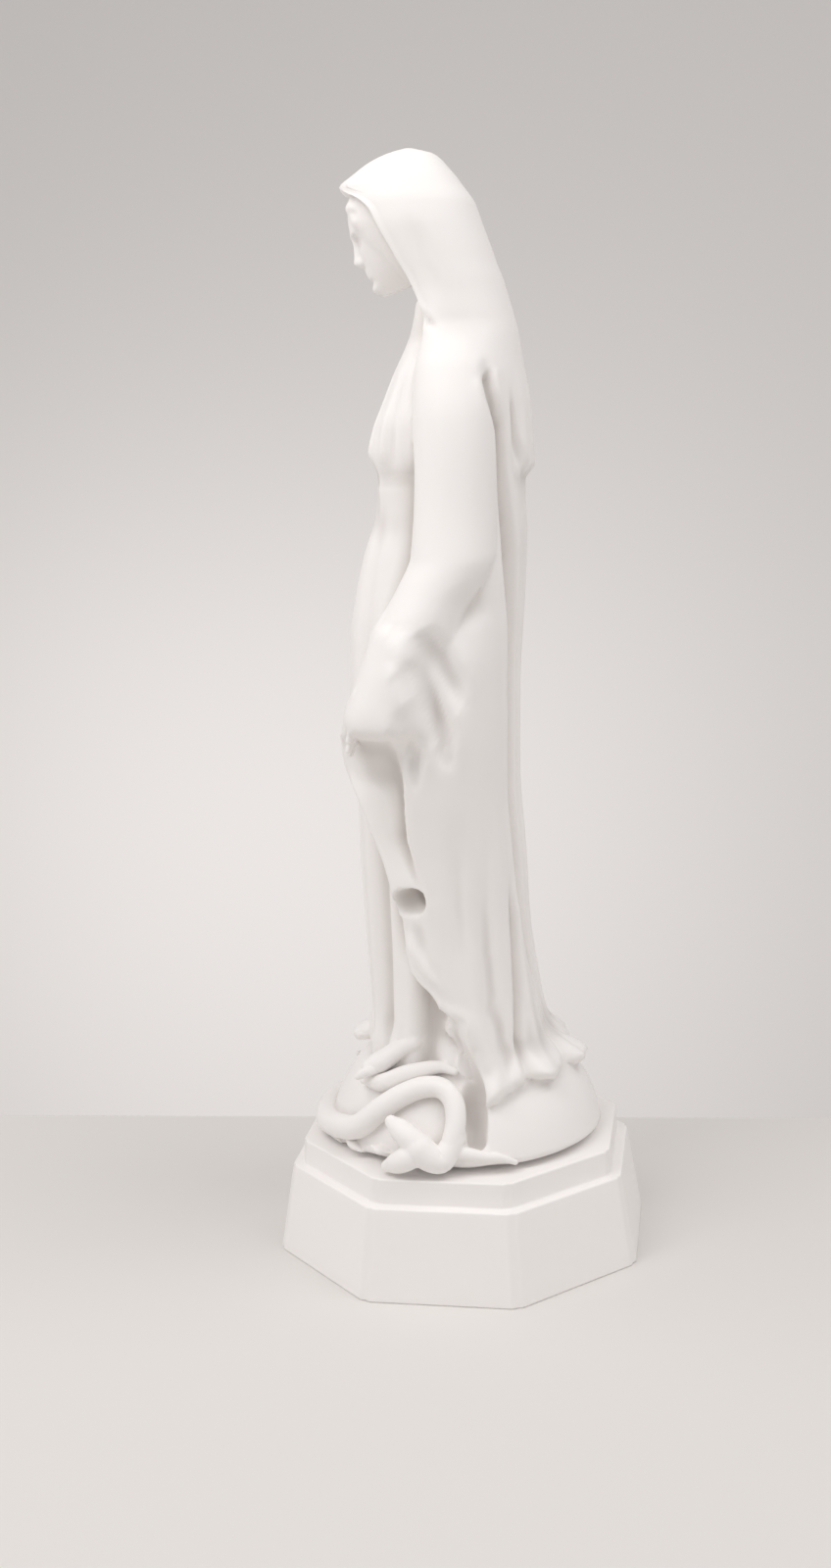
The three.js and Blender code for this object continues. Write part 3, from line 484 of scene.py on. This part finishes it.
def tunic_radius(angle, height):
    """Reach of the tunic: a superellipse, flutes that deepen down the skirt and part into
    lobes at its hem, finer gathers above the sash, and a sunk line under the blouse."""
    behind = np.maximum(follow(CLOTH_BACK, height) - 1.2, 2)
    radius = oval(angle, follow(TUNIC_HALF, height), follow(TUNIC_FRONT, height), behind, 2.2)
    skirt = ramp(height, 66, 20)
    phase = 11 * angle + 0.8 * np.sin(2 * angle) + 0.02 * height
    flute = np.cos(phase) - 0.35 * np.cos(2 * phase + 0.5)
    radius = radius + (0.12 + 0.42 * skirt) * flute * ramp(height, 68, 60)
    gather = np.cos(17 * angle + 0.5 + 0.06 * height) + 0.4 * np.cos(29 * angle)
    radius += 0.2 * gather * ramp(height, 69, 71) * ramp(height, 82, 72)
    radius += (0.5 + 0.4 * np.cos(7 * angle + 1)) * ramp(height, 13.5, 10.2)
    border = ramp(np.degrees(np.abs(angle)), 28, 34) * ramp(height, 63, 68) * ramp(height, 78, 73)
    radius += 0.45 * border
    return radius - 0.45 * bump(height - 68.6, 0.45)


def tunic(rows=161, columns=180):
    """Rows from the globe to the neck, with columns drawn together towards the front."""
    height = np.linspace(4, 86, rows)[:, None]
    turn = np.linspace(0, 2 * math.pi, columns + 1)[None, :-1]
    angle = turn - 0.6 * np.sin(turn)
    angle = np.arctan2(np.sin(angle), np.cos(angle))
    return skin(place(angle, tunic_radius(angle, height), height))


# The head is a plain classical one, set out by the usual shares of its height: eyes halfway
# up, mouth and nose below, the brow above.
HEAD_HEIGHT = 11.2
HEAD_TILT = math.radians(20)
CHIN = (0, -4.7, 86.2)
HEAD_HALF = [[0, 0.9], [0.08, 1.8], [0.2, 2.7], [0.4, 3.5], [0.6, 3.9], [0.8, 3.5],
             [0.93, 2.3], [1, 0.3]]
HEAD_FRONT = [[0, 3], [0.1, 3.6], [0.2, 3.75], [0.35, 3.8], [0.5, 3.8], [0.6, 3.95],
              [0.75, 3.6], [0.9, 2.4], [1, 0.3]]
HEAD_BACK = [[0, 0.5], [0.15, 2], [0.3, 4], [0.6, 5.2], [0.8, 4.6], [0.93, 3.2], [1, 0.3]]


def head_radius(angle, share):
    """Reach of the head at a share of its height: an egg, with nose, lips, chin and brow
    raised from it as bells, lidded eyes in shallow sockets, and wavy hair that is parted in
    the middle and drawn back round the face."""
    turn = np.abs(angle)
    radius = oval(angle, follow(HEAD_HALF, share), follow(HEAD_FRONT, share),
                  follow(HEAD_BACK, share), 2.1)
    ridge = follow([[0.3, 0], [0.335, 1.2], [0.37, 1], [0.56, 0.25], [0.66, 0]], share)
    radius = radius + ridge * bump(angle, 0.1 + 0.08 * bump(share - 0.345, 0.04))
    radius += 0.3 * bump(share - 0.345, 0.025) * bump(turn - 0.19, 0.07)
    upper, lower = bump(share - 0.245, 0.018), bump(share - 0.2, 0.022)
    radius += 0.34 * (upper + lower) * bump(angle, 0.26)
    radius -= 0.16 * bump(share - 0.223, 0.008) * bump(angle, 0.27)
    radius -= 0.2 * bump(share - 0.15, 0.03) * bump(angle, 0.3)
    radius += 0.38 * bump(share - 0.07, 0.06) * bump(angle, 0.32)
    socket = bump(share - 0.5, 0.055) * bump(turn - 0.42, 0.22)
    ball = bump(share - 0.49, 0.03) * bump(turn - 0.42, 0.15)
    radius += 0.3 * ball - 0.5 * socket + 0.12 * bump(share - 0.585, 0.018) * bump(turn - 0.4, 0.3)
    radius -= 0.1 * bump(share - 0.472 - 0.3 * (turn - 0.42) ** 2, 0.007) * bump(turn - 0.42, 0.17)
    hair = ramp(share - 0.84 + 0.42 * turn**2, 0, 0.035)
    locks = np.sin(46 * (share + 0.14 * turn**2) + 1.5 * np.sin(5 * turn))
    radius += hair * (0.3 + 0.12 * locks)
    return radius - 0.25 * bump(angle, 0.05) * ramp(share, 0.84, 0.88)


def head(rows=81, columns=96):
    """Rows from chin to crown by columns drawn together towards the face, tilted forward
    about the chin."""
    share = (0.5 - 0.5 * np.cos(math.pi * (np.arange(rows) + 0.35) / (rows - 0.3)))[:, None]
    turn = np.linspace(0, 2 * math.pi, columns + 1)[None, :-1]
    angle = turn - 0.45 * np.sin(turn)
    angle = np.arctan2(np.sin(angle), np.cos(angle))
    radius = head_radius(angle, share)
    y, z = -radius * np.cos(angle), share * HEAD_HEIGHT + 0 * angle
    return skin(np.stack([
        CHIN[0] + radius * np.sin(angle),
        CHIN[1] + 1.8 + y * math.cos(HEAD_TILT) - z * math.sin(HEAD_TILT),
        CHIN[2] + z * math.cos(HEAD_TILT) + y * math.sin(HEAD_TILT) + 1], -1))


# Each hand is held low with its palm to the front: a flat palm, four fingers and a thumb,
# coming out of the tunic's sleeve.
WRIST = (11.8, -4.9, 53.2)
HAND_REACH = (0.6, -3.7, -10.6)


def curve_through(path, steps):
    """Points and directions at even steps along the centripetal spline through a path."""
    path = np.array(path, float)
    padded = np.concatenate([[2 * path[0] - path[1]], path, [2 * path[-1] - path[-2]]])
    gap = np.maximum(np.linalg.norm(np.diff(padded, axis=0), axis=1), 1e-6) ** 0.5
    at = np.concatenate([[0], np.cumsum(gap)])
    fine = np.linspace(at[1], at[-2], 40 * len(path))
    i = np.clip(np.searchsorted(at, fine, side="right") - 1, 1, len(path) - 1)

    def blend(p, q, a, b):
        t = ((fine - a) / (b - a))[:, None]
        return p * (1 - t) + q * t

    t0, t1, t2, t3 = at[i - 1], at[i], at[i + 1], at[i + 2]
    p0, p1, p2, p3 = padded[i - 1], padded[i], padded[i + 1], padded[i + 2]
    a1, a2, a3 = blend(p0, p1, t0, t1), blend(p1, p2, t1, t2), blend(p2, p3, t2, t3)
    b1, b2 = blend(a1, a2, t0, t2), blend(a2, a3, t1, t3)
    line = blend(b1, b2, t1, t2)
    run = np.concatenate([[0], np.cumsum(np.linalg.norm(np.diff(line, axis=0), axis=1))])
    even = np.linspace(0, run[-1], steps + 1)
    spots = np.stack([np.interp(even, run, line[:, k]) for k in range(3)], 1)
    ways = np.gradient(spots, axis=0)
    return spots, ways / np.linalg.norm(ways, axis=1)[:, None]


def limb(path, radii, sides, steps, flatten=1.0, caps=4):
    """A round or flattened limb: rings of a radius that follows its own curve, carried along
    a spline without twisting, with caps rings on each rounded end."""
    spots, ways = curve_through(path, steps)
    across = np.zeros_like(ways)
    aside = np.array([1.0, 0, 0])
    for k, way in enumerate(ways):
        rise = np.cross(way, aside)
        aside = np.cross(rise / np.linalg.norm(rise), way)
        across[k] = aside
    rise = np.cross(ways, across)
    arc = np.linspace(0, math.pi / 2, caps + 2)[1:-1]
    cap, grow = np.sin(arc), np.cos(arc)
    share = np.linspace(0, 1, steps + 1)
    order = np.concatenate([np.zeros(caps, int), np.arange(steps + 1), np.full(caps, steps)])
    past = np.concatenate([-cap[::-1], np.zeros(steps + 1), cap])
    scale = np.concatenate([grow[::-1], np.ones(steps + 1), grow])
    radius = follow(radii, share)[order]
    middle = spots[order] + ways[order] * (past * radius * min(flatten, 1))[:, None]
    angle = np.linspace(0, 2 * math.pi, sides + 1)[:-1]
    ring = (across[order][:, None] * np.cos(angle)[None, :, None]
            + rise[order][:, None] * flatten * np.sin(angle)[None, :, None])
    return skin(middle[:, None] + ring * (radius * scale)[:, None, None])


def hand(side):
    """The palm, the ball of the thumb and the five fingers of one hand, each finger with its
    joints a little thicker, as a list of closed skins."""
    def spot(share, aside, forward):
        return (side * (WRIST[0] + HAND_REACH[0] * share + aside),
                WRIST[1] + HAND_REACH[1] * share + forward, WRIST[2] + HAND_REACH[2] * share)

    skins = [limb([spot(-0.25, 0, 0.2), spot(0, 0, 0), spot(0.25, 0, 0), spot(0.52, 0, -0.1)],
                  [[0, 1.25], [0.35, 1.2], [0.7, 1.6], [1, 1.5]], 28, 18, 0.55)]
    for finger, length in enumerate((0.88, 0.98, 1.02, 0.94)):
        aside, bend = 1.1 - 0.73 * finger, -0.1 + 0.18 * finger
        skins.append(limb([spot(0.42, aside * 0.9, 0), spot(0.62, aside, 0.05),
                           spot(0.82 * length, aside * 1.05, bend * 0.5),
                           spot(length, aside * 1.02, bend)],
                          [[0, 0.46], [0.35, 0.44], [0.45, 0.5], [0.6, 0.42], [0.72, 0.46],
                           [1, 0.34]], 16, 22))
    thumb = [spot(0.12, 0.9, 0), spot(0.3, 1.5, -0.3), spot(0.46, 1.75, -0.5), spot(0.6, 1.7, -0.6)]
    skins.append(limb(thumb, [[0, 0.8], [0.5, 0.6], [0.7, 0.62], [1, 0.4]], 16, 18))
    return skins


def sleeve(side):
    """The tunic's sleeve from the elbow to the wrist."""
    path = [(side * x, y, z) for x, y, z in
            ((9, 2, 60), (10.4, -0.6, 57), (11.3, -3.2, 54.6), (11.7, -4.4, 53.2))]
    return limb(path, [[0, 3.2], [0.6, 2.5], [1, 1.95]], 36, 18)


# The globe, the feet on it and the serpent round it, with a rose and leaves.
GLOBE_RADIUS = 14.65
GLOBE_CENTRE = (0, 0.4, -1.75)
SERPENT_RADIUS = 0.95


def on_globe(turn, rise, lift):
    """Point over the globe at an angle from the front, a height angle and a lift."""
    turn, rise, radius = np.radians(turn), np.radians(rise), GLOBE_RADIUS + np.asarray(lift)
    return np.stack(np.broadcast_arrays(
        GLOBE_CENTRE[0] + radius * np.sin(turn) * np.cos(rise),
        GLOBE_CENTRE[1] - radius * np.cos(turn) * np.cos(rise),
        GLOBE_CENTRE[2] + radius * np.sin(rise)), -1)


def globe(rows=44, columns=120):
    """Rings of a sphere from the plinth's top to its pole."""
    foot = math.degrees(math.asin(-GLOBE_CENTRE[2] / GLOBE_RADIUS))
    rise = np.linspace(foot, 89, rows)[:, None]
    rings = on_globe(np.linspace(0, 360, columns + 1)[None, :-1], rise, 0)
    rings[0, :, 2] = 0
    return skin(rings)


def serpent():
    """The serpent's body lies round the globe's front, arches over her left side of it and
    comes down to a flat head with open jaws; the tail lies beside it. A roll of the tunic's
    hem lies over the arch."""
    r = SERPENT_RADIUS
    body = np.array([[-88, 46], [-76, 35], [-58, 19], [-36, 12], [-10, 11], [18, 13], [36, 16],
                     [48, 19.5], [58, 28.5], [67, 35.5], [77, 39.8], [86, 40], [92, 35.5],
                     [93.5, 28], [92, 20.5], [90, 15]])
    skins = [limb(on_globe(*body.T, 0.75 * r),
                  [[0, 0.6 * r], [0.3, 1.15 * r], [0.6, 1.35 * r], [0.85, 1.15 * r],
                   [1, 1.05 * r]], 24, 190)]
    neck = np.array([[93, 21], [88, 13.5], [84, 14.5], [80, 17]])
    skins.append(limb(on_globe(*neck.T, r * (0.6 + 0.35 * np.arange(4))),
                      [[0, 1.1 * r], [1, 1.7 * r]], 24, 20))
    for jaw, turn_end in ((25, 67), (9.5, 68)):
        line = np.array([[81, 17], [75, 7.65 + 0.55 * jaw], [turn_end, jaw]])
        skins.append(limb(on_globe(*line.T, r * np.array([1.6, 2.0, 1.6])),
                          [[0, 1.5 * r], [0.7, 1.15 * r], [1, 0.7 * r]], 22, 18))
    tail = np.array([[94, 16.5], [99, 15.5], [105, 14.2], [111, 13.4], [117, 11]])
    skins.append(limb(on_globe(*tail.T, 0.35 * r), [[0, 0.8 * r], [1, 0.3 * r]], 18, 34))
    roll = np.array([[40, 36], [54, 38.5], [64, 43.5], [73, 46.5], [84, 48.5], [92, 47]])
    skins.append(limb(on_globe(*roll.T, 0.7),
                      [[0, 0.4], [0.3, 0.95], [0.7, 0.8], [1, 0.4]], 18, 44))
    return skins


def foot(heel, toe, width, side):
    """A bare foot from heel to big toe: a broad body that falls from the instep, and five
    toes that shorten away from the middle of her."""
    heel, toe = np.array(heel, float), np.array(toe, float)
    ahead = toe - heel
    across = np.cross(ahead, [0, 0, 1.0])
    across *= side / np.linalg.norm(across)
    rise = np.cross(across, ahead) * side / np.linalg.norm(ahead)
    rise *= math.copysign(1, rise[2])
    body = [heel + ahead * t + rise * up
            for t, up in ((0, 1.1), (0.3, 0.8), (0.6, 0.25), (0.84, 0))]
    skins = [limb(body, [[0, 0.95 * width], [0.4, 0.9 * width], [0.8, width], [1, 0.85 * width]],
                  32, 22, 0.72)]
    for number in range(5):
        aside = across * (0.78 - 0.4 * number) * width
        start = heel + ahead * (0.78 - 0.02 * number) + aside
        end = heel + ahead * (1.04 - 0.055 * number) + aside - rise * 0.12
        size = width * (0.3 if number == 0 else 0.22 - 0.01 * number)
        skins.append(limb([start, 0.5 * (start + end) + rise * 0.12, end],
                          [[0, size], [0.75, 1.1 * size], [1, 0.8 * size]], 16, 12))
    return skins


def rose(turn, rise, size):
    """A rolled rose: a thin limb wound inwards and outwards from the globe in a spiral."""
    points = 12
    i = np.arange(points + 1)
    around, spiral = 2 * math.pi * i / points, 1 - 0.045 * i
    return limb(on_globe(turn + size * 4.2 * spiral * np.cos(around),
                         rise + size * 3.6 * spiral * np.sin(around),
                         size * (0.05 + 0.05 * i)),
                [[0, 0.5 * size], [1, 0.42 * size]], 14, 40)


def leaf(turn, rise, towards, climb, size):
    """A pointed leaf laid on the globe."""
    t = np.array([0, 0.5, 1])
    return limb(on_globe(turn + towards * t, rise + climb * t, 0.15 + 0.25 * t),
                [[0, 0.25 * size], [0.45, 0.8 * size], [1, 0.15 * size]], 14, 14, 0.45)


def burrow(knots, radii):
    """A cutter for a deep undercut: a limb through (degrees, reach, height) knots."""
    turn, reach, height = np.array(knots, float).T
    return limb(place(np.radians(turn), reach, height), radii, 24, 40)


def join_or_cut(body, closed_skin, operation):
    """Adds a closed skin to a body, or cuts it out of it, as one solid."""
    group = bpy.data.collections.new("tools")
    bpy.context.scene.collection.children.link(group)
    tool = make_object("tool", *closed_skin)
    bpy.context.scene.collection.objects.unlink(tool)
    group.objects.link(tool)
    step = body.modifiers.new("step", "BOOLEAN")
    step.operation = operation
    step.solver = "MANIFOLD"
    step.operand_type = "COLLECTION"
    step.collection = group
    graph = bpy.context.evaluated_depsgraph_get()
    result = bpy.data.meshes.new_from_object(body.evaluated_get(graph))
    body.modifiers.clear()
    body.data = result
    bpy.data.objects.remove(tool)
    bpy.data.collections.remove(group)


class Skin:
    """A triangle mesh as arrays, with the mean over each point's neighbours."""

    def __init__(self, points, faces):
        self.points, self.faces = points, faces
        half = np.concatenate([faces[:, [0, 1]], faces[:, [1, 2]], faces[:, [2, 0]]])
        key = np.sort(half, 1)
        order = np.lexsort((key[:, 1], key[:, 0]))
        key, owner = key[order], np.tile(np.arange(len(faces)), 3)[order]
        pair = np.where((key[:-1] == key[1:]).all(1))[0]
        self.edge, self.beside = key[pair], np.stack([owner[pair], owner[pair + 1]])
        self.degree = np.maximum(np.bincount(self.edge.ravel(), minlength=len(points)), 1)

    def mean(self, values):
        """Mean of values over each point's neighbours."""
        count = len(self.points)
        return (np.bincount(self.edge[:, 0], values[self.edge[:, 1]], count)
                + np.bincount(self.edge[:, 1], values[self.edge[:, 0]], count)) / self.degree

    def face_normals(self):
        """Unit normal of each triangle."""
        a, b, c = (self.points[self.faces[:, k]] for k in range(3))
        normal = np.cross(b - a, c - a)
        return normal / (np.linalg.norm(normal, axis=1)[:, None] + 1e-12)

    def soften(self, angle, rounds):
        """The mould's softness: edges sharper than an angle, and what is next to them, are
        drawn towards the mean of their neighbours, as rubbing down a casting does."""
        normal = self.face_normals()
        sharp = (normal[self.beside[0]] * normal[self.beside[1]]).sum(1) \
            < math.cos(math.radians(angle))
        weight = np.zeros(len(self.points))
        weight[self.edge[sharp].ravel()] = 1
        for _ in range(2):
            weight = np.maximum(weight, 0.7 * self.mean(weight))
        grounded = self.points[:, 2] <= self.points[:, 2].min() + 1e-6
        moved = self.points.copy()
        for _ in range(rounds):
            for k in range(3):
                free = ~grounded if k == 2 else 1
                moved[:, k] += 0.6 * weight * free * (self.mean(moved[:, k]) - moved[:, k])
        self.points = moved

    def hollowness(self, rounds, depth):
        """How far each point lies under the even surface that its surroundings would make,
        as a share of a depth from 0 to 1: the mesh smoothed many times, less the mesh,
        measured along the surface normal."""
        smooth = self.points.copy()
        for _ in range(rounds):
            smooth = np.stack([self.mean(smooth[:, k]) for k in range(3)], 1)
        outward, normal = np.zeros_like(self.points), self.face_normals()
        for k in range(3):
            np.add.at(outward, self.faces[:, k], normal)
        outward /= np.linalg.norm(outward, axis=1)[:, None] + 1e-12
        return np.clip(((smooth - self.points) * outward).sum(1) / depth, 0, 1)


# Deep undercuts beneath the mantle's falling edge on her left side: (degrees, reach, height)
# knots and radii along them.
UNDERCUTS = [
    ([[68, 14.5, 26.6], [74, 12.4, 27.1], [80, 11, 27.8]], [[0, 1.8], [0.5, 1.9], [1, 1]]),
    ([[66, 10.4, 23], [72, 10.6, 20.6], [78, 10.7, 18.6], [85, 10.8, 16.6], [92, 11, 14.6]],
     [[0, 0.3], [0.3, 0.8], [0.6, 1.15], [1, 0.8]]),
    ([[88, 11, 15.2], [95, 11.2, 12.6], [99.5, 11.5, 10.4], [103, 12, 8], [104, 12.6, 5.4],
      [104, 13.6, 3.2]], [[0, 0.4], [0.3, 1.05], [0.7, 1.35], [1, 1]]),
]

# The figure is joined from its closed skins as one solid, in the order of carving.
figure = make_object("figure_casting", *tunic())
additions = [mantle(), head(), globe(), sleeve(1), sleeve(-1), rose(-40, 25, 1),
             leaf(-52, 22, -14, 6, 1), leaf(-26, 24, 12, 8, 1), leaf(66, 13, -10, 1, 1.2),
             leaf(50, 10, -10, 3, 1.1), leaf(34, 9, -9, 3, 1.1)]
additions += foot(on_globe(64.7, 55.8, 0.3), on_globe(41.5, 38.6, 1.9), 1.55, -1)
additions += foot(on_globe(-17, 56.9, -0.9), on_globe(-15, 37.9, 2), 1.45, 1)
for skin_part in additions + hand(1) + hand(-1):
    join_or_cut(figure, skin_part, "UNION")
for knots, radii in UNDERCUTS:
    join_or_cut(figure, burrow(knots, radii), "DIFFERENCE")
for skin_part in serpent():
    join_or_cut(figure, skin_part, "UNION")

# The joined mesh is softened as a mould softens edges, and its hollows are marked for the
# painted shade and dust tint, which is faded nearly out where the globe meets the plinth's top.
mesh = figure.data
points = np.zeros(len(mesh.vertices) * 3)
mesh.vertices.foreach_get("co", points)
points = points.reshape(-1, 3)
mesh.calc_loop_triangles()
faces = np.zeros(len(mesh.loop_triangles) * 3, int)
mesh.loop_triangles.foreach_get("vertices", faces)
faces = faces.reshape(-1, 3)
points[:, 2] = np.maximum(points[:, 2], 0)
casting = Skin(points, faces)
casting.soften(38, 6)
bpy.data.objects.remove(figure)
figure = make_object("figure_casting", casting.points * UNIT + [0, 0, FIGURE_LOW.z], faces)
# Painted shade: this measure darkens and warms the colour in creases and recesses in place of their
# shadow, together with handling dust.
hollow = 0.25 * casting.hollowness(8, 0.15) + 0.75 * casting.hollowness(60, 0.9)
hollow *= 0.1 + 0.9 * ramp(casting.points[:, 2], 0.3, 2.5)
attribute = figure.data.attributes.new("hollow", "FLOAT", "POINT")
attribute.data.foreach_set("value", hollow.astype(np.float32))
figure.data.shade_smooth()
figure.data.materials.append(marble)
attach(figure, "root")
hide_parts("figure")


# The figure stands near the far edge of a pale table top, in front of a plain wall. A soft
# light is near her head on her left, weaker ones are in front of her and high up behind her,
# one lights the wall from below, and even light comes from all round.
TABLE_EDGE = ((-0.0687, -0.1709), (-0.0911, 0.1097))


def flat_panel(name, corners, colour, roughness):
    """A flat four-cornered panel of plain paint."""
    panel = make_object(name, np.array(corners, float), np.array([[0, 1, 2], [0, 2, 3]]))
    paint = bpy.data.materials.new(name)
    paint.use_nodes = True
    shader = paint.node_tree.nodes["Principled BSDF"]
    shader.inputs["Base Color"].default_value = linear(colour)
    shader.inputs["Roughness"].default_value = roughness
    panel.data.materials.append(paint)


near, far = (np.array([*p, 0.0]) for p in TABLE_EDGE)
along = (far - near) / np.linalg.norm(far - near)
away = np.cross(along, [0, 0, -1.0])
edge_start, edge_end = near - 3 * along, near + 3 * along
flat_panel("table_top", [edge_start, edge_start - 3 * away, edge_end - 3 * away, edge_end],
           "#E3E0DD", 0.7)
wall = near + 1.3 * away
flat_panel("wall", [wall - 4 * along + [0, 0, -2], wall + 4 * along + [0, 0, -2],
                    wall + 4 * along + [0, 0, 3], wall - 4 * along + [0, 0, 3]], "#E6E3E1", 0.9)


def soft_light(name, place, aim, size, power, colour):
    """A square area light at a place, turned to face a point."""
    data = bpy.data.lights.new(name, "AREA")
    data.size = size
    data.energy = power
    data.color = linear(colour)[:3]
    light = bpy.data.objects.new(name, data)
    back = np.array(place, float) - np.array(aim, float)
    back /= np.linalg.norm(back)
    side = np.cross([0, 0.01, 1], back)
    side /= np.linalg.norm(side)
    turned = Matrix((side, np.cross(back, side), back)).transposed().to_4x4()
    light.matrix_world = Matrix.Translation(place) @ turned
    bpy.context.scene.collection.objects.link(light)


soft_light("window", (0.27, -0.22, 0.56), (0, 0, 0.24), 0.3, 1, "#FFFDFC")
soft_light("room", (-0.1, -0.8, 0.5), (0, 0, 0.15), 0.6, 0.8, "#FFFDFC")
soft_light("ceiling", (0.15, 0.45, 0.95), (0, 0, 0.1), 0.6, 2.5, "#FFFDFC")
soft_light("wall_wash", (-0.75, -0.35, -0.25), (-1.6, -0.35, -0.6), 0.8, 2.3, "#FFFDFC")
world = bpy.data.worlds.new("studio")
world.use_nodes = True
world.node_tree.nodes["Background"].inputs["Color"].default_value = linear("#FBF9F8")
world.node_tree.nodes["Background"].inputs["Strength"].default_value = 0.61
bpy.context.scene.world = world
bpy.context.scene.view_settings.view_transform = "Standard"
